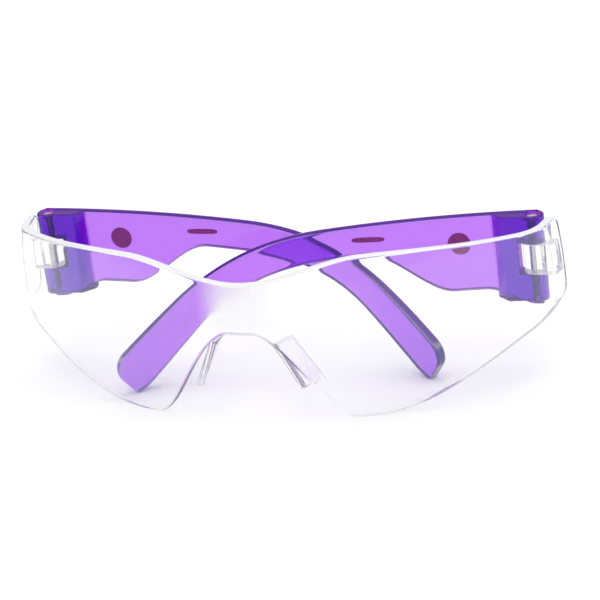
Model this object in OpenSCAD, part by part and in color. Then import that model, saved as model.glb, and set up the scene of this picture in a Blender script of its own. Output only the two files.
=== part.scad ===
// One-piece wraparound safety spectacles, standing folded on the lens lobes and the arm tips.
// Millimetres, +Z up, the front of the lens faces -Y. The origin is on the floor, under the middle
// of the bounding box. Left and right are the wearer's: the wearer's left is at +X.

/* [Lens] */
// Radius of the wide front arc of the lens, seen from above
front_r = 96; // [94:1:98]
// Half angle of the front arc, in degrees
front_half_angle = 43; // [42.5:0.5:43.5]
// Radius of the tighter arc at each temple, seen from above
corner_r = 16; // [15.5:0.5:16.5]
// Direction of the side wings, in degrees from the front plane
wing_angle = 82; // [81.5:0.5:82.5]
// Length of the straight end of each side wing
wing_len = 6.5; // [6.2:0.1:6.8]
// Thickness of the lens wall
wall = 2.3; // [2.1:0.1:2.4]
// Height of the brow above each eye
brow_z = 42.4; // [42:0.2:43]
// Height of the top edge over the nose bridge
bridge_z = 37; // [36.6:0.2:37.6]
// Height of the top edge at the rear of the side wings
wing_top_z = 39.4; // [39.2:0.1:39.6]
// Height of the bottom edge at the rear of the side wings
wing_bottom_z = 18.6; // [18:0.2:19.4]
// Height of the nose arch
arch_z = 24.4; // [24:0.2:24.8]
// Radius of the vertical bulge at the front of the lens
bulge_front_r = 70; // [65:5:90]
// Radius of the vertical bulge at the side wings
bulge_wing_r = 120; // [110:10:160]

/* [Nose pads] */
// Thickness of each nose pad flange
pad_t = 1.8; // [1.6:0.1:2]
// How far the flanges run back from the lens
pad_depth = 10; // [8:0.5:11]

/* [Hinges] */
// Distance of each hinge axis from the middle plane
hinge_x = 65.1; // [64.8:0.1:65.2]
// Radius of the hinge knuckles
knuckle_r = 3; // [2.8:0.1:3]
// Diameter of the screw shank
pin_d = 1.6; // [1.4:0.1:1.8]
// Running clearance between screw and bore, on the radius
pin_gap = 0.05; // [0.03:0.01:0.08]
// Height of the bottom of the clear middle lug
lug_z0 = 25; // [24:0.5:26]
// Height of the clear middle lug
lug_h = 8; // [7:0.5:8]
// Gap above and below the middle lug
lug_gap = 0.2; // [0.15:0.05:0.3]

/* [Arms] */
// Height of the top edge of the arms at the hinge
arm_top_z = 40.2; // [40:0.1:40.4]
// Drop of the top edge between hinge and ear bend
arm_drop = 3; // [2.5:0.25:3.5]
// Distance from hinge to ear bend
bend_at = 54; // [53:0.5:55]
// Radius of the ear bend
bend_r = 80; // [76:1:84]
// Turn of the ear bend, in degrees
bend_angle = 30; // [29.5:0.5:30.5]
// Thickness of the arms
arm_t = 2.6; // [2.4:0.1:2.6]
// Height of the narrow shank
shank_h = 8.2; // [8:0.1:8.4]
// Extra height of the broad panel behind the hinge
panel_h = 12; // [11.6:0.2:12.4]
// Extra height of the front end at the hinge
front_h = 4.5; // [4:0.5:5]
// Extra width of the tip
tip_h = 2.8; // [2:0.2:3]
// Inward sweep of the tail towards the head, in degrees
tail_sweep = 29.5; // [29:0.5:30]
// Rest angle of the wearer's left arm past square, in degrees
left_fold = 7; // [6.8:0.1:7.4]
// Rest angle of the wearer's right arm past square, in degrees
right_fold = 0.4; // [0:0.1:0.8]

/* [Hidden] */
// Half length of the lens around its curve
arc1 = front_r * front_half_angle * PI / 180;
arc2 = corner_r * (wing_angle - front_half_angle) * PI / 180;
half_s = arc1 + arc2 + wing_len;
x1 = front_r * sin(front_half_angle);
y1 = front_r * (1 - cos(front_half_angle));
x2 = x1 + corner_r * (sin(wing_angle) - sin(front_half_angle));
y2 = y1 + corner_r * (cos(front_half_angle) - cos(wing_angle));
x3 = x2 + wing_len * cos(wing_angle);
y3 = y2 + wing_len * sin(wing_angle);
hinge_y = y3 - 1.5;
// Height of the widest part of the vertical bulge
bulge_z = 21;
// Numbers of facets along and up the lens, and along an arm
lens_n = 92;
lens_m = 10;
arm_n = 66;
// Bottom of the arm at the hinge
arm_low_z = arm_top_z - shank_h - panel_h - front_h;

// Smooth step from 0 to 1
function ease(t) = let (c = min(max(t, 0), 1)) c * c * (3 - 2 * c);
// Lens curve from above: point and direction at arc length s from the middle
function turn(s) =
    let (a = abs(s))
    a < arc1 ? a / front_r * 180 / PI
    : a < arc1 + arc2 ? front_half_angle + (a - arc1) / corner_r * 180 / PI
    : wing_angle;
function lens_xy(s) =
    let (a = abs(s), g = s < 0 ? -1 : 1, t = turn(s))
    a < arc1 ? [g * front_r * sin(t), front_r * (1 - cos(t))]
    : a < arc1 + arc2
        ? [g * (x1 + corner_r * (sin(t) - sin(front_half_angle))),
           y1 + corner_r * (cos(front_half_angle) - cos(t))]
    : [g * (x2 + (a - arc1 - arc2) * cos(t)), y2 + (a - arc1 - arc2) * sin(t)];
// Inward direction, towards the face
function inward(s) = let (t = turn(s), g = s < 0 ? -1 : 1) [-g * sin(t), cos(t)];
// Top and bottom edges of the lens
function lens_top(s) =
    let (a = abs(s))
    a < 32 ? bridge_z + (brow_z - bridge_z) * ease(a / 32)
    : brow_z + (wing_top_z - brow_z) * ease((a - 32) / (half_s - 32));
function lens_low(s) =
    let (a = abs(s))
    a < 31 ? arch_z * (1 - ease((a - 3) / 25))
    : wing_bottom_z * ease((a - 31) / (half_s - 31));
function bulge(s, z) =
    let (r = bulge_front_r + (bulge_wing_r - bulge_front_r) * ease(abs(s) / (half_s - 12)))
    (z - bulge_z) * (z - bulge_z) / (2 * r);
function lens_point(s, v, off) =
    let (z = lens_low(s) + (lens_top(s) - lens_low(s)) * v,
         p = lens_xy(s), n = inward(s), d = bulge(s, z) + off)
    [p[0] + n[0] * d, p[1] + n[1] * d + y_shift, z];

// Closed shell between an outer and an inner grid of points
module lens_wall() {
    rows = lens_m + 1;
    cols = lens_n + 1;
    pts = [for (k = [0, 1]) for (i = [0 : lens_n]) for (j = [0 : lens_m])
        lens_point(half_s * (2 * i / lens_n - 1), j / lens_m, (k - 0.5) * wall)];
    o = rows * cols;
    function at(k, i, j) = k * o + i * rows + j;
    faces = [
        for (i = [0 : lens_n - 1]) for (j = [0 : lens_m - 1]) each [
            [at(0, i, j), at(0, i, j + 1), at(0, i + 1, j + 1)],
            [at(0, i, j), at(0, i + 1, j + 1), at(0, i + 1, j)],
            [at(1, i, j), at(1, i + 1, j + 1), at(1, i, j + 1)],
            [at(1, i, j), at(1, i + 1, j), at(1, i + 1, j + 1)]],
        for (i = [0 : lens_n - 1]) each [
            [at(0, i, 0), at(0, i + 1, 0), at(1, i + 1, 0)],
            [at(0, i, 0), at(1, i + 1, 0), at(1, i, 0)],
            [at(0, i, lens_m), at(1, i + 1, lens_m), at(0, i + 1, lens_m)],
            [at(0, i, lens_m), at(1, i, lens_m), at(1, i + 1, lens_m)]],
        for (j = [0 : lens_m - 1]) each [
            [at(0, 0, j), at(1, 0, j), at(1, 0, j + 1)],
            [at(0, 0, j), at(1, 0, j + 1), at(0, 0, j + 1)],
            [at(0, lens_n, j), at(1, lens_n, j + 1), at(1, lens_n, j)],
            [at(0, lens_n, j), at(0, lens_n, j + 1), at(1, lens_n, j + 1)]]
    ];
    polyhedron(pts, faces, convexity = 10);
}

// Thin flange beside the nose, running back from the edge of the nose cut-out
module nose_pad(side) {
    r = pad_t / 2;
    corners = [[8.2, 2.2, arch_z - 3.6], [13.4, 3.6, 9.4], [9.4, pad_depth, arch_z - 5.2],
               [15.2, pad_depth + 1.6, 8.4]];
    hull() for (c = corners)
        translate([side * c[0], c[1] + y_shift, c[2]]) sphere(r = r, $fn = 24);
}

// Clear middle lug of a hinge with the web that joins it to the side wing
module lens_lug(side) {
    translate([side * hinge_x, hinge_y + y_shift, lug_z0]) {
        cylinder(r = knuckle_r, h = lug_h, $fn = 48);
        translate([side > 0 ? 0 : -(x3 - hinge_x), -knuckle_r, 0]) cube([x3 - hinge_x, 4, lug_h]);
    }
}

module lens_shield() {
    color([0.93, 0.95, 0.97, 0.35])
    difference() {
        union() {
            lens_wall();
            for (side = [-1, 1]) {
                nose_pad(side);
                lens_lug(side);
            }
        }
        for (side = [-1, 1])
            translate([side * hinge_x, hinge_y + y_shift, lug_z0 - 1])
                cylinder(r = pin_d / 2 + pin_gap, h = lug_h + 2, $fn = 48);
    }
}

// Side view of an arm: top edge point, slope and height at path length l
bend_end = bend_r * bend_angle * PI / 180;
slope0 = atan(2 * arm_drop / bend_at);
bend_u = bend_at + bend_r * (sin(slope0 + bend_angle) - sin(slope0));
bend_z = arm_top_z - arm_drop - bend_r * (cos(slope0) - cos(slope0 + bend_angle));
tail_w = shank_h + tip_h;
tip_round = 5;
// Share of the corner length that the rounding of the tip takes off, at the share t of the way along it
function tip_share(t) = 1 - sqrt(1 - t * t * 0.96);
// Height of the rounded lower corner above the sharp corner
tip_gain = min([for (i = [0 : 40]) let (t = i / 40)
    tip_round * ((1 - t) * sin(slope0 + bend_angle) + 0.3 * tip_share(t) * cos(slope0 + bend_angle))]);
// The tail is as long as it takes for its lower corner to meet the floor
tail_len = (bend_z + tip_gain - tail_w * cos(slope0 + bend_angle)) / sin(slope0 + bend_angle);
arm_len = bend_at + bend_end + tail_len;

function arm_slope(l) =
    l < bend_at ? atan(2 * arm_drop * max(l, 0) / (bend_at * bend_at))
    : slope0 + bend_angle * min((l - bend_at) / bend_end, 1);
function arm_edge(l) =
    l < bend_at ? [l, arm_top_z - arm_drop * pow(max(l, 0) / bend_at, 2)]
    : l < bend_at + bend_end
        ? let (a = arm_slope(l))
          [bend_at + bend_r * (sin(a) - sin(slope0)), arm_top_z - arm_drop - bend_r * (cos(slope0) - cos(a))]
    : let (a = slope0 + bend_angle, d = l - bend_at - bend_end) [bend_u + d * cos(a), bend_z - d * sin(a)];
function arm_height(l) =
    shank_h + panel_h * (1 - ease((l - 22) / 22)) + front_h * (1 - ease(l / 14))
    + tip_h * ease((l - 78) / (arm_len - 78));
function arm_thick(l) = arm_t + 0.4 * ease((l - 84) / 24);
function tip_cut(l) = tip_round * tip_share(max(l - arm_len + tip_round, 0) / tip_round);

// View from above: the arm runs along +u and its tail sweeps forward, to -v
function sweep(u) = tail_sweep * ease((u - 55) / 55);
sweep_n = 130;
sweep_tab = [for (i = 0, p = [-4, (knuckle_r - arm_t / 2)]; i <= sweep_n;
    p = p + [cos(sweep(i - 3.5)), -sin(sweep(i - 3.5))], i = i + 1) p];
function arm_uv(u) =
    let (i = min(max(floor(u + 4), 0), sweep_n - 1), f = u + 4 - i)
    sweep_tab[i] * (1 - f) + sweep_tab[i + 1] * f;
// The rearmost point of the wearer's right arm puts the origin under the middle of the box
function arm_back(u, fold) =
    let (p = arm_uv(u) + arm_t / 2 * [sin(sweep(u)), cos(sweep(u))]) p[1] * cos(fold) - p[0] * sin(fold);
y_shift = -(hinge_y + max([for (u = [0 : 110]) arm_back(u, right_fold)]) - wall / 2) / 2;
function arm_at(u, z, off) =
    let (p = arm_uv(u), a = sweep(u)) [p[0] + off * sin(a), p[1] + off * cos(a), z];

// Closed ribbon with chamfered edges
module arm_ribbon() {
    c = 0.5;
    l0 = -1.4;
    pts = [for (i = [0 : arm_n])
        let (l = l0 + (arm_len - l0) * (i < arm_n - 8 ? i / (arm_n - 8) * (1 - 6 / arm_len)
                 : 1 - 6 / arm_len + 6 / arm_len * sin(90 * (i - arm_n + 8) / 8)),
             e = arm_edge(l), a = arm_slope(l), h = arm_height(l), t = arm_thick(l) / 2, k = tip_cut(l))
        for (q = [[c - t, k], [t - c, k], [t, k + c], [t, h - k * 0.3 - c], [t - c, h - k * 0.3],
                  [c - t, h - k * 0.3], [-t, h - k * 0.3 - c], [-t, k + c]])
        arm_at(e[0] - q[1] * sin(a), e[1] - q[1] * cos(a), q[0])];
    faces = [
        [7, 6, 5, 4, 3, 2, 1, 0],
        for (i = [0 : arm_n - 1]) for (j = [0 : 7]) each [
            [i * 8 + j, i * 8 + (j + 1) % 8, (i + 1) * 8 + (j + 1) % 8],
            [i * 8 + j, (i + 1) * 8 + (j + 1) % 8, (i + 1) * 8 + j]],
        [for (j = [0 : 7]) arm_n * 8 + j]
    ];
    polyhedron(pts, faces, convexity = 8);
}

// Thick hinge block, knuckles and bore of an arm, with room for the clear lug
module arm_body() {
    difference() {
        union() {
            arm_ribbon();
            translate([0, 0, arm_low_z + 2.2])
                linear_extrude(arm_top_z - arm_low_z - 2.4)
                    polygon([[0, -2.2], [7.6, -2.2], [10.4, 0.8], [10.4, 2.6], [0, 2.9]]);
            translate([0, 0, arm_low_z + 2.2])
                cylinder(r = knuckle_r, h = arm_top_z - arm_low_z - 2.4, $fn = 48);
        }
        translate([0, 0, lug_z0 - lug_gap])
            cylinder(r = knuckle_r + 1.7, h = lug_h + 2 * lug_gap, $fn = 64);
        translate([0, 0, -1])
            cylinder(r = pin_d / 2 + pin_gap, h = arm_top_z + 10, $fn = 48);
        translate([0, 0, arm_top_z - 1.4])
            cylinder(r = pin_d + 0.15, h = 5, $fn = 48);
    }
}

// An arm on its hinge. side is +1 at +X, and fold is how far it rests past square
module arm(side, fold) {
    translate([side * hinge_x, hinge_y + y_shift, 0])
        mirror([side > 0 ? 1 : 0, 0, 0])
            rotate([0, 0, -fold])
                arm_body();
}

module left_temple() {
    color([0.5, 0.2, 0.85, 0.8]) arm(1, left_fold);
}

module right_temple() {
    color([0.5, 0.2, 0.85, 0.8]) arm(-1, right_fold);
}

// Slotted pin screw with its head in the top knuckle
module hinge_screw(side) {
    translate([side * hinge_x, hinge_y + y_shift, 0])
        difference() {
            union() {
                translate([0, 0, arm_low_z + 3.2])
                    cylinder(d = pin_d, h = arm_top_z - 1.4 - arm_low_z - 3.2, $fn = 48);
                translate([0, 0, arm_top_z - 1.4]) cylinder(r = pin_d, h = 0.9, $fn = 48);
            }
            translate([-pin_d - 1, -0.2, arm_top_z - 0.85]) cube([2 * pin_d + 2, 0.4, 1]);
        }
}

module left_hinge_screw() {
    color([0.78, 0.78, 0.8]) hinge_screw(1);
}

module right_hinge_screw() {
    color([0.78, 0.78, 0.8]) hinge_screw(-1);
}

lens_shield();
left_temple();
right_temple();
left_hinge_screw();
right_hinge_screw();
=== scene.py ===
"""Looks of a pair of one-piece wraparound safety spectacles, folded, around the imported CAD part.

Lengths in the tables below are millimetres, as in the CAD design, and MM turns them into metres.
Left and right are the wearer's. The wearer's left is at +X and the front of the lens faces -Y.
"""

import math

import bmesh
import bpy
import numpy as np
from mathutils import Matrix, Vector


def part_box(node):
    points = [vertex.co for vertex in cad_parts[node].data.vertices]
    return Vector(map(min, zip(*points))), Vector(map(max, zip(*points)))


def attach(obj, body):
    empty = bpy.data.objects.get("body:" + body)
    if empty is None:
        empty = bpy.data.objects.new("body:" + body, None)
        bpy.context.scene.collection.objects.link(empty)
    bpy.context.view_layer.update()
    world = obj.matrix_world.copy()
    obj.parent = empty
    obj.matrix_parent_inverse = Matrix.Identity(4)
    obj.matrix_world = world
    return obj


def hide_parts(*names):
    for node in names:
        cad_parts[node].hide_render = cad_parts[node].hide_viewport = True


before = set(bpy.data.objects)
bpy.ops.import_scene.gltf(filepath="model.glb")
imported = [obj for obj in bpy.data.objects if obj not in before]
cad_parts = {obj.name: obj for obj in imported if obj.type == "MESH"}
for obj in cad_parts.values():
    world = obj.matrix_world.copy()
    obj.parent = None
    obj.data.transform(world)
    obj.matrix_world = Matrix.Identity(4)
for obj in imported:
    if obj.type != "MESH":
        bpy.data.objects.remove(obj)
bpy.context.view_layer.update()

MM = 0.001


# ---------------------------------------------------------------- driving dimensions

WALL = 2.3
FRONT_R, FRONT_HALF_ANGLE = 96.0, math.radians(43.0)
CORNER_R, WING_ANGLE, WING_LEN = 16.0, math.radians(82.0), 6.5
BROW_Z, BRIDGE_Z, ARCH_Z = 42.4, 37.0, 24.4
WING_TOP_Z, WING_BOTTOM_Z = 39.4, 18.6
BULGE_Z, BULGE_FRONT_R, BULGE_WING_R = 21.0, 70.0, 120.0

# Nose flange on the wearer's left: its corners, in x, distance behind the front of the lens, and height
PAD_T, PAD_DEPTH = 1.8, 10.0
PAD_FRONT = ((8.2, 2.2, ARCH_Z - 3.6), (13.4, 3.6, 9.4))
PAD_BACK = ((9.4, PAD_DEPTH, ARCH_Z - 5.2), (15.2, PAD_DEPTH + 1.6, 8.4))

KNUCKLE_R, PIN_R, BORE_R = 3.0, 0.8, 0.85
SEAT_DEPTH, HEAD_R = 1.4, 2 * PIN_R
LUG_Z, LUG_H, LUG_GAP = 25.0, 8.0, 0.2
NOTCH_R = KNUCKLE_R + 1.7

ARM_TOP_Z, ARM_DROP, BEND_AT = 40.2, 3.0, 54.0
BEND_R, BEND_ANGLE = 80.0, math.radians(30.0)
ARM_T, TAIL_EXTRA_T = 2.6, 0.4
SHANK_H, PANEL_H, FRONT_H, TIP_H, TIP_ROUND = 8.2, 12.0, 4.5, 2.8, 5.0
TAIL_SWEEP = math.radians(29.5)
ARM_LOW_Z = ARM_TOP_Z - SHANK_H - PANEL_H - FRONT_H
BLOCK_LOW_Z, BLOCK_TOP_Z = ARM_LOW_Z + 2.2, ARM_TOP_Z - 0.2
BLOCK_OUTLINE = [(0, -2.2), (7.6, -2.2), (10.4, 0.8), (10.4, 2.6), (0, 2.9)]

# Printed marks on each arm: distance from the hinge, height, half sizes, and roundness (1 is an ellipse)
MARKS = {"disc": (19.0, 32.0, (2.9, 2.9), 1.0), "bar": (42.0, 34.0, (4.2, 0.7), 0.6)}

# Angle that each arm rests at past square, when folded
FOLD = {"left": math.radians(7.0), "right": math.radians(0.4)}
SIDE = {"left": 1, "right": -1}

# Where the frame says that the lens and the hinge axes are
Y_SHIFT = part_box("lens_shield")[0][1] / MM + WALL / 2
screw_low, screw_high = (np.array(corner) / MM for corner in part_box("left_hinge_screw"))
HINGE_X, HINGE_Y = ((screw_low + screw_high) / 2)[:2]


def ease(t):
    """Smooth step from 0 to 1."""
    t = np.clip(t, 0.0, 1.0)
    return t * t * (3 - 2 * t)


# ---------------------------------------------------------------- lens shape

ARC1 = FRONT_R * FRONT_HALF_ANGLE
ARC2 = CORNER_R * (WING_ANGLE - FRONT_HALF_ANGLE)
HALF_S = ARC1 + ARC2 + WING_LEN
X1, Y1 = FRONT_R * math.sin(FRONT_HALF_ANGLE), FRONT_R * (1 - math.cos(FRONT_HALF_ANGLE))
X2 = X1 + CORNER_R * (math.sin(WING_ANGLE) - math.sin(FRONT_HALF_ANGLE))
X3 = X2 + WING_LEN * math.cos(WING_ANGLE)
WING_ROUND = 3.2
RIM_FILLET = 0.55


def lens_plan(s):
    """Points of the lens curve from above at arc lengths s from the middle, and the directions inwards."""
    a, side = np.abs(s), np.where(s < 0, -1.0, 1.0)
    turn = np.where(a < ARC1, a / FRONT_R,
                    np.minimum(FRONT_HALF_ANGLE + (a - ARC1) / CORNER_R, WING_ANGLE))
    x = np.where(a < ARC1, FRONT_R * np.sin(turn),
                 X1 + CORNER_R * (np.sin(turn) - math.sin(FRONT_HALF_ANGLE)))
    y = np.where(a < ARC1, FRONT_R * (1 - np.cos(turn)),
                 Y1 + CORNER_R * (math.cos(FRONT_HALF_ANGLE) - np.cos(turn)))
    run = np.maximum(a - ARC1 - ARC2, 0)
    x, y = x + run * math.cos(WING_ANGLE), y + run * math.sin(WING_ANGLE)
    return np.stack([side * x, y]), np.stack([-side * np.sin(turn), np.cos(turn)])


def wing_corner(s):
    """How much the rounded rear corners of the wings take off the top and the bottom edge."""
    d = np.clip(WING_ROUND - (HALF_S - np.abs(s)), 0, WING_ROUND)
    return WING_ROUND - np.sqrt(WING_ROUND ** 2 - d ** 2)


def lens_top(s):
    a = np.abs(s)
    over_eye = BRIDGE_Z + (BROW_Z - BRIDGE_Z) * ease(a / 32)
    to_wing = BROW_Z + (WING_TOP_Z - BROW_Z) * ease((a - 32) / (HALF_S - 32))
    return np.where(a < 32, over_eye, to_wing) - wing_corner(s)


def lens_bottom(s):
    a = np.abs(s)
    nose = ARCH_Z * (1 - ease((a - 3) / 25))
    to_wing = WING_BOTTOM_Z * ease((a - 31) / (HALF_S - 31))
    return np.where(a < 31, nose, to_wing) + wing_corner(s)


def lens_points(s, z, offset):
    """Points of the lens wall; offset is the distance inwards from its middle surface."""
    (x, y), (nx, ny) = lens_plan(s)
    r = BULGE_FRONT_R + (BULGE_WING_R - BULGE_FRONT_R) * ease(np.abs(s) / (HALF_S - 12))
    d = (z - BULGE_Z) ** 2 / (2 * r) + offset
    return np.stack([x + nx * d, y + ny * d + Y_SHIFT, z], axis=-1)


# ---------------------------------------------------------------- mesh helpers

def fillet_steps(radius, steps=5):
    """Distances from an edge at which a quarter-round fillet is sampled."""
    return radius * (1 - np.cos(np.linspace(0, math.pi / 2, steps)))


def fillet_half(distance, half, radius):
    """Half thickness of a wall at a distance from its edge, where the edge has a fillet."""
    d = np.clip(distance / radius, 0, 1)
    return half - radius + radius * np.sqrt(1 - (1 - d) ** 2)


def spans(low, high, radius, count):
    """Positions from low to high, close together inside the fillets at both ends."""
    start = low + fillet_steps(radius)
    end = high - fillet_steps(radius)[::-1]
    return np.concatenate([start, np.linspace(start[-1], end[0], count + 2)[1:-1], end])


def link(name, mesh):
    obj = bpy.data.objects.new(name, mesh)
    bpy.context.scene.collection.objects.link(obj)
    return obj


def mesh_object(name, points, faces):
    """A mesh object from points in millimetres, with its normals pointing outwards."""
    mesh = bpy.data.meshes.new(name)
    mesh.from_pydata((np.asarray(points, float) * MM).tolist(), [], faces)
    bm = bmesh.new()
    bm.from_mesh(mesh)
    bmesh.ops.remove_doubles(bm, verts=bm.verts, dist=1e-7)
    bmesh.ops.recalc_face_normals(bm, faces=bm.faces)
    bm.to_mesh(mesh)
    bm.free()
    return link(name, mesh)


def wall_object(name, front, back):
    """A closed wall from two grids of points, front and back, with their edges joined all round."""
    rows, cols = front.shape[:2]
    points = np.concatenate([front.reshape(-1, 3), back.reshape(-1, 3)])
    at = lambda side, i, j: side * rows * cols + i * cols + j
    faces = []
    for i in range(rows - 1):
        for j in range(cols - 1):
            quad = [(i, j), (i + 1, j), (i + 1, j + 1), (i, j + 1)]
            faces.append([at(0, *q) for q in quad])
            faces.append([at(1, *q) for q in reversed(quad)])
    border = ([(i, 0) for i in range(rows - 1)] + [(rows - 1, j) for j in range(cols - 1)]
              + [(i, cols - 1) for i in range(rows - 1, 0, -1)] + [(0, j) for j in range(cols - 1, 0, -1)])
    for a, b in zip(border, border[1:] + border[:1]):
        faces.append([at(0, *a), at(1, *a), at(1, *b), at(0, *b)])
    return mesh_object(name, points, faces)


def tube_object(name, rings):
    """A closed solid from a row of rings of points, capped at both ends."""
    count, around = rings.shape[:2]
    faces = [[i * around + j, i * around + (j + 1) % around, (i + 1) * around + (j + 1) % around,
              (i + 1) * around + j] for i in range(count - 1) for j in range(around)]
    faces.append(list(range(around))[::-1])
    faces.append([(count - 1) * around + j for j in range(around)])
    return mesh_object(name, rings.reshape(-1, 3), faces)


def lathe(name, profile, around=64):
    """A solid of revolution about the Z axis from a profile of (radius, height) points."""
    turn = np.linspace(0, 2 * math.pi, around, endpoint=False)
    rings = np.array([[(r * math.cos(a), r * math.sin(a), z) for a in turn] for r, z in profile])
    return tube_object(name, rings)


def rod(name, radius, low, high, bevel=0.0):
    """A round bar about the Z axis, with its ends bevelled."""
    b = min(bevel, radius * 0.5)
    arc = [(radius - b + b * math.sin(a), low + b - b * math.cos(a)) for a in np.linspace(0, math.pi / 2, 5)]
    profile = arc + [(r, low + high - z) for r, z in reversed(arc)]
    return lathe(name, profile if b else [(radius, low), (radius, high)])


def prism(name, outline, low, high, bevel):
    """An upright prism with bevelled edges."""
    bm = bmesh.new()
    base = bm.faces.new([bm.verts.new((x * MM, y * MM, low * MM)) for x, y in outline])
    top = bmesh.ops.extrude_face_region(bm, geom=[base])
    bmesh.ops.translate(bm, vec=(0, 0, (high - low) * MM),
                        verts=[v for v in top["geom"] if isinstance(v, bmesh.types.BMVert)])
    bmesh.ops.recalc_face_normals(bm, faces=bm.faces)
    bmesh.ops.bevel(bm, geom=list(bm.edges), offset=bevel * MM, segments=3, profile=0.5, affect="EDGES")
    mesh = bpy.data.meshes.new(name)
    bm.to_mesh(mesh)
    bm.free()
    return link(name, mesh)


def apply_modifiers(obj):
    """Turns the modifiers of an object into its mesh."""
    bpy.context.view_layer.update()
    evaluated = obj.evaluated_get(bpy.context.evaluated_depsgraph_get())
    mesh = bpy.data.meshes.new_from_object(evaluated)
    obj.modifiers.clear()
    old, obj.data = obj.data, mesh
    bpy.data.meshes.remove(old)


def combine(obj, tool, operation):
    """Joins a tool solid to an object, or cuts it out, and removes the tool."""
    modifier = obj.modifiers.new("combine", "BOOLEAN")
    modifier.operation, modifier.object, modifier.solver = operation, tool, "EXACT"
    apply_modifiers(obj)
    mesh = tool.data
    bpy.data.objects.remove(tool)
    bpy.data.meshes.remove(mesh)


def drop_slivers(obj):
    """Merges the points that booleans leave within a micrometre of each other, and the faces between them."""
    bm = bmesh.new()
    bm.from_mesh(obj.data)
    bmesh.ops.remove_doubles(bm, verts=bm.verts, dist=1e-6)
    bmesh.ops.dissolve_degenerate(bm, edges=bm.edges, dist=1e-6)
    bm.to_mesh(obj.data)
    bm.free()


def smooth(obj, angle=32):
    """Smooth shading that keeps the sharp edges, with broad faces kept flat."""
    obj.data.shade_smooth()
    obj.data.set_sharp_from_angle(angle=math.radians(angle))
    modifier = obj.modifiers.new("normals", "WEIGHTED_NORMAL")
    modifier.keep_sharp, modifier.weight = True, 50
    apply_modifiers(obj)


# ---------------------------------------------------------------- materials

class Nodes:
    """Short way to write a node tree: add a node, set its sockets, and link others to them."""

    def __init__(self, name):
        self.material = bpy.data.materials.new(name)
        self.material.use_nodes = True
        self.tree = self.material.node_tree
        self.tree.nodes.clear()

    def add(self, kind, settings=None, **sockets):
        node = self.tree.nodes.new("ShaderNode" + kind)
        for key, value in (settings or {}).items():
            setattr(node, key, value)
        for key, value in sockets.items():
            self.put(node, key, value)
        return node

    def put(self, node, key, value):
        """Sets or links a socket, named with _ for a space, or numbered as _0, _1 and so on."""
        numbered = key[0] == "_" and key[1:].isdigit()
        socket = node.inputs[int(key[1:]) if numbered else key.replace("_", " ")]
        if isinstance(value, bpy.types.NodeSocket):
            self.tree.links.new(value, socket)
        elif isinstance(value, bpy.types.Node):
            self.tree.links.new(value.outputs[0], socket)
        else:
            socket.default_value = value

    def math(self, operation, a, b=0.0):
        return self.add("Math", {"operation": operation}, _0=a, _1=b).outputs[0]

    def mix(self, factor, low, high):
        """Blend of two colours, from low where the factor is 0 to high where it is 1."""
        return self.add("Mix", {"data_type": "RGBA"}, _0=factor, _6=low, _7=high).outputs[2]

    def xyz(self, vector):
        return self.add("SeparateXYZ", Vector=vector).outputs

    def facing(self):
        """Direction that the surface faces, in the piece's own coordinates."""
        return self.xyz(self.add("TexCoord").outputs["Normal"])

    def ramp(self, value, low, high, to_low=0.0, to_high=1.0):
        """Smooth step of a value from one number to another."""
        return self.add("MapRange", {"interpolation_type": "SMOOTHSTEP"}, Value=value, From_Min=low,
                        From_Max=high, To_Min=to_low, To_Max=to_high).outputs[0]

    def noise(self, scale, detail=3.0, vector=None, roughness=0.5):
        node = self.add("TexNoise", Vector=vector or self.place(), Scale=scale, Detail=detail,
                        Roughness=roughness)
        return node.outputs["Fac"]

    def place(self):
        """Position in the piece's own coordinates."""
        return self.add("TexCoord").outputs["Object"]

    def out(self, surface, volume=None):
        node = self.add("OutputMaterial", Surface=surface)
        if volume is not None:
            self.put(node, "Volume", volume)
        return self.material


POLYCARBONATE_IOR = 1.585
WHITE = (1, 1, 1, 1)
LENS_TINT, LENS_DENSITY, LENS_SHADOW = (0.86, 0.9, 1.0, 1), 16.0, (0.965, 0.965, 0.97, 1)
ARM_TINT, ARM_DENSITY, ARM_SHADOW = (0.6, 0.04, 0.92, 1), 670.0, (0.86, 0.8, 0.9, 1)
BRIDGE_HAZE, RIM_HAZE, EDGE_HAZE = 0.45, 0.9, 0.7


def light_passes(nodes, shader, colour):
    """Lets lamps through a see-through piece, so that its shadow is pale."""
    passing = nodes.add("BsdfTransparent", Color=colour)
    shadow = nodes.add("LightPath").outputs["Is Shadow Ray"]
    return nodes.add("MixShader", _0=shadow, _1=shader, _2=passing)


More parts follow.
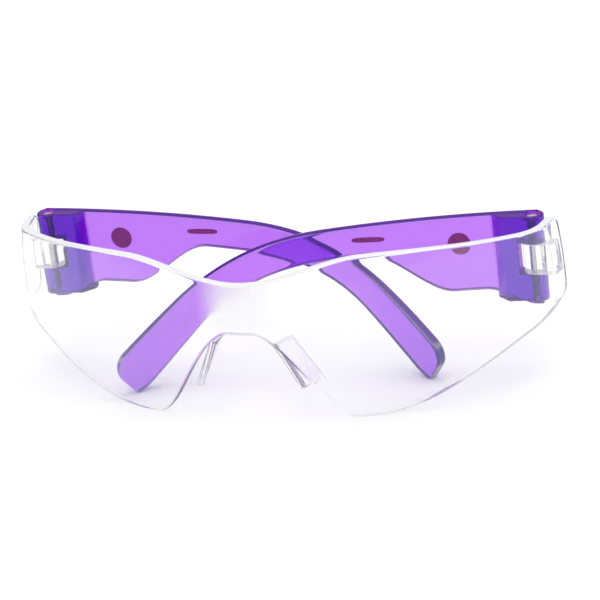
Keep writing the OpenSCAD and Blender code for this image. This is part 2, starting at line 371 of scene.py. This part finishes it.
def clear_lens():
    """Clear polished polycarbonate, matt white on its top and rear edges and milky over the bridge."""
    n = Nodes("clear_lens")
    place, facing = n.xyz(n.place()), n.facing()
    from_middle = n.math("ABSOLUTE", place["X"])
    milky = n.math("MULTIPLY", n.ramp(from_middle, 2.5 * MM, 11.0 * MM, 1.0, 0.0),
                   n.ramp(place["Z"], 19.0 * MM, 33.0 * MM))
    wing_end = n.math("MULTIPLY", n.ramp(from_middle, 66.5 * MM, 68.5 * MM), n.ramp(facing["Y"], 0.7, 0.9))
    rim = n.math("MAXIMUM", n.ramp(facing["Z"], 0.45, 0.8), wing_end)
    smudge = n.ramp(n.noise(60.0, 5.0), 0.45, 0.75, 0.015, 0.04)
    haze = n.math("MAXIMUM", n.math("MULTIPLY", milky, BRIDGE_HAZE), n.math("MULTIPLY", rim, RIM_HAZE))
    grain = n.noise(2600.0, 2.0)
    bump = n.add("Bump", Strength=n.math("MULTIPLY", haze, 0.2), Distance=0.05 * MM, Height=grain)
    surface = n.add("BsdfPrincipled", Base_Color=n.mix(rim, WHITE, (0.78, 0.78, 0.8, 1)),
                    Roughness=n.math("ADD", smudge, n.math("MULTIPLY", haze, 0.45)), IOR=POLYCARBONATE_IOR,
                    Transmission_Weight=n.math("SUBTRACT", 1.0, haze), Normal=bump)
    tint = n.add("VolumeAbsorption", Color=LENS_TINT, Density=LENS_DENSITY)
    return n.out(light_passes(n, surface, LENS_SHADOW), tint)


def purple_arm():
    """See-through purple polycarbonate, deepest in the thick hinge block and matt along its narrow edges."""
    n = Nodes("purple_arm")
    place = n.xyz(n.place())
    from_side = n.math("SUBTRACT", n.math("ABSOLUTE", place["X"]), HINGE_X * MM)
    from_back = n.math("SUBTRACT", place["Y"], HINGE_Y * MM)
    from_hinge = n.math("SQRT", n.math("ADD", n.math("MULTIPLY", from_side, from_side),
                                       n.math("MULTIPLY", from_back, from_back)))
    block = n.mix(n.ramp(from_hinge, 9.6 * MM, 10.8 * MM), (0.42, 0.04, 0.68, 1), WHITE)
    edge = n.ramp(n.math("ABSOLUTE", n.facing()["Z"]), 0.35, 0.8)
    stretched = n.add("Mapping", Vector=n.place(), Scale=(1, 1, 6))
    flow = n.noise(45.0, 4.0, stretched.outputs[0])
    scuffs = n.ramp(n.noise(320.0, 6.0, roughness=0.7), 0.58, 0.7, 0.0, 0.16)
    bump = n.add("Bump", Strength=0.08, Distance=0.2 * MM, Height=flow)
    surface = n.add("BsdfPrincipled", Base_Color=n.mix(edge, block, (0.09, 0.0, 0.3, 1)),
                    Roughness=n.math("ADD", n.ramp(flow, 0.3, 0.7, 0.03, 0.09), scuffs),
                    IOR=POLYCARBONATE_IOR, Specular_IOR_Level=0.08, Specular_Tint=(0.8, 0.6, 1.0, 1),
                    Normal=bump,
                    Transmission_Weight=n.math("SUBTRACT", 1.0, n.math("MULTIPLY", edge, EDGE_HAZE)))
    tint = n.add("VolumeAbsorption", Color=ARM_TINT, Density=ARM_DENSITY)
    return n.out(light_passes(n, surface, ARM_SHADOW), tint)


def screw_steel():
    """Turned steel: rings of fine tool marks, a little grime in them and bright worn edges."""
    n = Nodes("screw_steel")
    marks = n.noise(900.0, 3.0, n.add("Mapping", Vector=n.place(), Scale=(1, 1, 30)).outputs[0])
    grime = n.ramp(n.noise(700.0, 4.0), 0.5, 0.75)
    worn = n.ramp(n.add("NewGeometry").outputs["Pointiness"], 0.5, 0.56)
    dull = n.mix(grime, (0.62, 0.61, 0.6, 1), (0.3, 0.28, 0.27, 1))
    bump = n.add("Bump", Strength=0.25, Distance=0.05 * MM, Height=marks)
    return n.out(n.add("BsdfPrincipled", Base_Color=n.mix(worn, dull, (0.85, 0.85, 0.86, 1)), Metallic=1.0,
                       Roughness=n.ramp(marks, 0.2, 0.8, 0.22, 0.42), Normal=bump))


def mark_ink():
    """Pad-printed ink, a little uneven, which light shines through."""
    n = Nodes("mark_ink")
    uneven = n.noise(1800.0, 4.0)
    colour = n.mix(uneven, (0.75, 0.02, 0.25, 1), (0.9, 0.04, 0.4, 1))
    return n.out(n.add("BsdfPrincipled", Base_Color=colour, Roughness=n.ramp(uneven, 0.2, 0.8, 0.35, 0.6),
                       Transmission_Weight=0.6))


def floor_white():
    n = Nodes("floor_white")
    colour = n.mix(n.noise(40.0, 4.0), (0.9, 0.9, 0.9, 1), (0.92, 0.92, 0.92, 1))
    return n.out(n.add("BsdfPrincipled", Base_Color=colour, Roughness=0.8))


def paint(obj, material):
    obj.data.materials.clear()
    obj.data.materials.append(material)


# ---------------------------------------------------------------- pieces

def lens_wall():
    s_line = spans(-HALF_S, HALF_S, RIM_FILLET, 260)
    rise = np.linspace(0, 1, 34)
    offset_rows, s_rows, z_rows = [], [], []
    for s in s_line:
        low, high = float(lens_bottom(s)), float(lens_top(s))
        rise_ahead = float(lens_bottom(s + 0.05)) - float(lens_bottom(s - 0.05))
        lean = math.cos(math.atan(rise_ahead / 0.1)) if abs(s) < HALF_S - 4 else 1.0
        start = low + fillet_steps(RIM_FILLET) / lean
        end = high - fillet_steps(RIM_FILLET)[::-1]
        z = np.concatenate([start, start[-1] + (end[0] - start[-1]) * rise[1:-1], end])
        d = np.minimum(np.minimum((z - low) * lean, high - z), HALF_S - abs(s))
        offset_rows.append(fillet_half(d, WALL / 2, RIM_FILLET))
        s_rows.append(np.full_like(z, s))
        z_rows.append(z)
    s, z, half = np.array(s_rows), np.array(z_rows), np.array(offset_rows)
    return wall_object("lens_clear", lens_points(s, z, -half), lens_points(s, z, half))


def nose_pad(side):
    """Flange beside the nose: a crowned blade that runs back from the edge of the nose cut-out."""
    (front_top, front_low), (back_top, back_low) = np.array(PAD_FRONT), np.array(PAD_BACK)
    fillet = PAD_T / 2 - 0.15
    length = np.linalg.norm(front_low - front_top) + PAD_T
    depth = PAD_DEPTH + PAD_T - 2
    grid_a, grid_b = np.meshgrid(spans(0, length, fillet, 16) / length, spans(0, depth, fillet, 10) / depth,
                                 indexing="ij")
    # The rim lies half a thickness outside the four corners
    a, b = ((grid * (1 + PAD_T / (run - PAD_T)) - PAD_T / 2 / (run - PAD_T))[..., None]
            for grid, run in ((grid_a, length), (grid_b, depth)))
    middle = (front_top * (1 - a) + front_low * a) * (1 - b) + (back_top * (1 - a) + back_low * a) * b
    across = np.cross(front_low - front_top, back_top - front_top)
    across /= np.linalg.norm(across)
    edge = np.minimum(np.minimum(grid_a, 1 - grid_a) * length, np.minimum(grid_b, 1 - grid_b) * depth)
    half = fillet_half(edge, PAD_T / 2, fillet)[..., None]
    sides = [middle + across * half * sign + np.array([0, Y_SHIFT, 0]) for sign in (-1, 1)]
    return wall_object("pad", *(points * np.array([side, 1, 1]) for points in sides))


def lens_lug(side):
    """Clear hinge lug with the web that joins it to the side wing."""
    lug = rod("lug", KNUCKLE_R, LUG_Z, LUG_Z + LUG_H, 0.35)
    web = prism("web", [(0, -KNUCKLE_R), (X3 - HINGE_X, -KNUCKLE_R), (X3 - HINGE_X, 1.0), (0, 1.0)],
                LUG_Z, LUG_Z + LUG_H, 0.3)
    combine(lug, web, "UNION")
    lug.data.transform(Matrix.Diagonal((side, 1, 1, 1)))
    lug.data.transform(Matrix.Translation((side * HINGE_X * MM, HINGE_Y * MM, 0)))
    if side < 0:
        lug.data.flip_normals()
    return lug


def build_lens(material):
    lens = lens_wall()
    for side in (-1, 1):
        combine(lens, nose_pad(side), "UNION")
        combine(lens, lens_lug(side), "UNION")
        bore = rod("bore", BORE_R, LUG_Z - 1, LUG_Z + LUG_H + 1)
        bore.data.transform(Matrix.Translation((side * HINGE_X * MM, HINGE_Y * MM, 0)))
        combine(lens, bore, "DIFFERENCE")
    smooth(lens)
    paint(lens, material)
    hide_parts("lens_shield")
    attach(lens, "shield")
    return lens


BEND_LEN = BEND_R * BEND_ANGLE
SLOPE0 = math.atan(2 * ARM_DROP / BEND_AT)
END_SLOPE = SLOPE0 + BEND_ANGLE
BEND_U = BEND_AT + BEND_R * (math.sin(END_SLOPE) - math.sin(SLOPE0))
BEND_Z = ARM_TOP_Z - ARM_DROP - BEND_R * (math.cos(SLOPE0) - math.cos(END_SLOPE))
ARM_START = -1.4


def tip_share(t):
    return 1 - np.sqrt(1 - t * t * 0.96)


share = np.linspace(0, 1, 41)
TIP_GAIN = float(np.min(TIP_ROUND * ((1 - share) * math.sin(END_SLOPE)
                                     + 0.3 * tip_share(share) * math.cos(END_SLOPE))))
TAIL_LEN = (BEND_Z + TIP_GAIN - (SHANK_H + TIP_H) * math.cos(END_SLOPE)) / math.sin(END_SLOPE)
ARM_LEN = BEND_AT + BEND_LEN + TAIL_LEN


def arm_edge(l):
    """Side view of an arm's top edge at path length l: distance from the hinge, height and slope."""
    before, bend = l < BEND_AT, l < BEND_AT + BEND_LEN
    slope = np.where(before, np.arctan(2 * ARM_DROP * np.maximum(l, 0) / BEND_AT ** 2),
                     SLOPE0 + BEND_ANGLE * np.minimum((l - BEND_AT) / BEND_LEN, 1))
    after = l - BEND_AT - BEND_LEN
    u = np.where(before, l, np.where(bend, BEND_AT + BEND_R * (np.sin(slope) - math.sin(SLOPE0)),
                                     BEND_U + after * math.cos(END_SLOPE)))
    z = np.where(before, ARM_TOP_Z - ARM_DROP * (np.maximum(l, 0) / BEND_AT) ** 2,
                 np.where(bend, ARM_TOP_Z - ARM_DROP - BEND_R * (math.cos(SLOPE0) - np.cos(slope)),
                          BEND_Z - after * math.sin(END_SLOPE)))
    return u, z, slope


def arm_height(l):
    return (SHANK_H + PANEL_H * (1 - ease((l - 22) / 22)) + FRONT_H * (1 - ease(l / 14))
            + TIP_H * ease((l - 78) / (ARM_LEN - 78)))


def sweep(u):
    return TAIL_SWEEP * ease((u - 55) / 55)


SWEEP_STEP, SWEEP_START = 0.25, -4.0
sweep_at = np.arange(SWEEP_START, 140, SWEEP_STEP)
sweep_mid = sweep(sweep_at + SWEEP_STEP / 2)
sweep_u = SWEEP_START + np.concatenate([[0], np.cumsum(np.cos(sweep_mid) * SWEEP_STEP)[:-1]])
sweep_v = KNUCKLE_R - ARM_T / 2 - np.concatenate([[0], np.cumsum(np.sin(sweep_mid) * SWEEP_STEP)[:-1]])


def arm_points(u, z, offset):
    """Points of an arm on its hinge axis. The arm runs along +X, and its tail sweeps towards -Y."""
    a = sweep(u)
    x = np.interp(u, sweep_at, sweep_u) + offset * np.sin(a)
    y = np.interp(u, sweep_at, sweep_v) + offset * np.cos(a)
    return np.stack([x, y, z], axis=-1)


def round_section(half_t, low, high, radius, corner=5):
    """Rounded rectangle from (-half_t, low) to (half_t, high), with its straight sides divided."""
    points = []
    centres = [(half_t - radius, low + radius, -90), (half_t - radius, high - radius, 0),
               (radius - half_t, high - radius, 90), (radius - half_t, low + radius, 180)]
    for (cx, cz, start), (nx, nz, _) in zip(centres, centres[1:] + centres[:1]):
        for k in range(corner):
            a = math.radians(start + 90 * k / (corner - 1))
            points.append((cx + radius * math.cos(a), cz + radius * math.sin(a)))
        end = math.radians(start + 90)
        x, z = points[-1]
        tx, tz = nx + radius * math.cos(end), nz + radius * math.sin(end)
        points += [(x + (tx - x) * k / 4, z + (tz - z) * k / 4) for k in (1, 2, 3)]
    return np.array(points)


ARM_EDGE_R, TIP_EDGE_R = 0.95, 0.6


def arm_ribbon():
    body = np.linspace(ARM_START, ARM_LEN - TIP_ROUND - 1, 170)
    tip = ARM_LEN - TIP_ROUND - 1 + (TIP_ROUND + 1) * np.sin(np.linspace(0, math.pi / 2, 18))[1:]
    rings = []
    for l in np.concatenate([body, tip]):
        u, z, slope = (float(value) for value in arm_edge(l))
        cut = TIP_ROUND * float(tip_share(max(l - ARM_LEN + TIP_ROUND, 0) / TIP_ROUND))
        half = (ARM_T + TAIL_EXTRA_T * float(ease((l - 84) / 24))) / 2
        half = float(fillet_half(ARM_LEN - l, half, TIP_EDGE_R))
        ring = round_section(half, cut, float(arm_height(l)) - 0.3 * cut, min(ARM_EDGE_R, half * 0.8))
        offset, down = ring.T
        rings.append(arm_points(u - down * math.sin(slope), z - down * math.cos(slope), offset))
    return tube_object("ribbon", np.array(rings))


def arm_solid(name):
    """An arm about its hinge axis: ribbon, thick hinge block, knuckles, room for the clear lug and bore."""
    arm = arm_ribbon()
    arm.name = name
    combine(arm, prism("block", BLOCK_OUTLINE, BLOCK_LOW_Z, BLOCK_TOP_Z, 0.35), "UNION")
    combine(arm, rod("knuckle", KNUCKLE_R, BLOCK_LOW_Z, BLOCK_TOP_Z, 0.4), "UNION")
    combine(arm, rod("notch", NOTCH_R, LUG_Z - LUG_GAP, LUG_Z + LUG_H + LUG_GAP), "DIFFERENCE")
    combine(arm, rod("bore", BORE_R, -1, ARM_TOP_Z + 10), "DIFFERENCE")
    combine(arm, rod("seat", HEAD_R + 0.15, ARM_TOP_Z - SEAT_DEPTH, ARM_TOP_Z + 5), "DIFFERENCE")
    drop_slivers(arm)
    return arm


def on_hinge(obj, which):
    """Puts a piece that was made about its hinge axis onto the wearer's left or right hinge, folded."""
    side = SIDE[which]
    obj.data.transform(Matrix.Rotation(-FOLD[which], 4, "Z"))
    if side > 0:
        obj.data.transform(Matrix.Diagonal((-1, 1, 1, 1)))
        obj.data.flip_normals()
    obj.data.transform(Matrix.Translation((side * HINGE_X * MM, HINGE_Y * MM, 0)))


def arm_mark(name, at, low, size, power, lift, corners=48):
    """Plain printed mark on the outer face of an arm: a thin round or oblong film that follows the face."""
    turn = np.linspace(0, 2 * math.pi, corners, endpoint=False)
    outline = [(size[0] * math.copysign(abs(math.cos(a)) ** power, math.cos(a)),
                size[1] * math.copysign(abs(math.sin(a)) ** power, math.sin(a))) for a in turn]
    rings = []
    for offset, share in ((lift - 0.12, 1.0), (lift, 1.0), (lift + 0.03, 0.97)):
        rings.append(arm_points(np.array([at + share * x for x, _ in outline]),
                                np.array([low + share * z for _, z in outline]),
                                np.full(corners, offset)))
    return tube_object(name, np.array(rings))


def build_arm(which, plastic, ink):
    arm = arm_solid(which + "_arm")
    on_hinge(arm, which)
    smooth(arm)
    paint(arm, plastic)
    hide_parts(which + "_temple")
    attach(arm, which + "_arm")
    for name, (at, z, size, power) in MARKS.items():
        mark = arm_mark(f"{which}_mark_{name}", at, z, size, power, ARM_T / 2 + 0.02)
        on_hinge(mark, which)
        smooth(mark)
        paint(mark, ink)
        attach(mark, which + "_arm")


def build_screw(which, steel):
    """Slotted hinge screw: shank with a rolled thread at its lower end, chamfered point and domed head."""
    low, seat, head = ARM_LOW_Z + 3.2, ARM_TOP_Z - SEAT_DEPTH, HEAD_R
    pitch, depth, thread_top = 0.4, 0.1, low + 5.2
    profile = [(PIN_R - 0.3, low), (PIN_R - depth, low + 0.3)]
    z = low + 0.4
    while z < thread_top:
        profile += [(PIN_R, z), (PIN_R - depth, z + pitch / 2)]
        z += pitch
    profile += [(PIN_R, z), (PIN_R, seat), (head - 0.1, seat), (head, seat + 0.1), (head, seat + 0.55)]
    profile += [(head * math.cos(a), seat + 0.55 + 0.33 * math.sin(a)) for a in np.linspace(0.35, 1.45, 7)]
    screw = lathe(which + "_screw", profile)
    slot = prism("slot", [(-head - 1, -0.2), (head + 1, -0.2), (head + 1, 0.2), (-head - 1, 0.2)],
                 ARM_TOP_Z - 0.85, ARM_TOP_Z + 0.5, 0.02)
    slot.data.transform(Matrix.Rotation(math.radians(35 * SIDE[which]), 4, "Z"))
    combine(screw, slot, "DIFFERENCE")
    screw.data.transform(Matrix.Translation((SIDE[which] * HINGE_X * MM, HINGE_Y * MM, 0)))
    smooth(screw, 28)
    paint(screw, steel)
    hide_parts(which + "_hinge_screw")
    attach(screw, which + "_arm")


steel, plastic, ink = screw_steel(), purple_arm(), mark_ink()
build_lens(clear_lens())
for which in ("left", "right"):
    build_arm(which, plastic, ink)
    build_screw(which, steel)


# ---------------------------------------------------------------- studio

# Lamps: place and aim in metres, size in metres and power in watts
LAMPS = {"top_light": ((0.1, 0.1, 0.9), (0, 0, 0), (1.2, 1.0), 4.6),
         "left_light": ((-0.9, -0.5, 0.5), (0, 0, 0.02), (0.6, 0.6), 1.3),
         "right_light": ((0.9, -0.3, 0.5), (0, 0, 0.02), (0.6, 0.6), 1.3)}
FLOOR_HALF, SKY_STRENGTH = 6.0, 0.78


def area_light(name, place, aim, size, power):
    lamp = bpy.data.lights.new(name, "AREA")
    lamp.shape, lamp.energy = "RECTANGLE", power
    lamp.size, lamp.size_y = size
    obj = bpy.data.objects.new(name, lamp)
    obj.location = place
    obj.rotation_euler = (Vector(aim) - Vector(place)).to_track_quat("-Z", "Y").to_euler()
    bpy.context.scene.collection.objects.link(obj)


def build_studio():
    half = FLOOR_HALF
    mesh = bpy.data.meshes.new("floor")
    corners = [(-half, -half, 0), (half, -half, 0), (half, half, 0), (-half, half, 0)]
    mesh.from_pydata(corners, [], [(0, 1, 2, 3)])
    floor = link("floor", mesh)
    floor.data.materials.append(floor_white())
    for name, settings in LAMPS.items():
        area_light(name, *settings)
    world = bpy.data.worlds.new("studio")
    bpy.context.scene.world = world
    world.use_nodes = True
    sky = world.node_tree.nodes["Background"].inputs
    sky["Color"].default_value, sky["Strength"].default_value = WHITE, SKY_STRENGTH
    bpy.context.scene.view_settings.view_transform = "Standard"


CAMERA_AZIMUTH, CAMERA_ELEVATION, CAMERA_ROLL = 20.2, 23.1, -7.3
CAMERA_DISTANCE, CAMERA_LENS, SENSOR = 0.615, 147.0, 36.0
CAMERA_AIM = (0.0077, 0.0034, 0.0228)


def build_camera():
    azimuth, elevation, roll = (math.radians(a) for a in (CAMERA_AZIMUTH, CAMERA_ELEVATION, CAMERA_ROLL))
    back = Vector((math.sin(azimuth) * math.cos(elevation), -math.cos(azimuth) * math.cos(elevation),
                   math.sin(elevation)))
    camera = bpy.data.objects.new("camera", bpy.data.cameras.new("camera"))
    camera.data.lens, camera.data.sensor_width = CAMERA_LENS, SENSOR
    camera.location = Vector(CAMERA_AIM) + back * CAMERA_DISTANCE
    turned = (-back).to_track_quat("-Z", "Y").to_matrix() @ Matrix.Rotation(roll, 3, "Z")
    camera.rotation_euler = turned.to_euler()
    bpy.context.scene.collection.objects.link(camera)
    bpy.context.scene.camera = camera


build_studio()
build_camera()
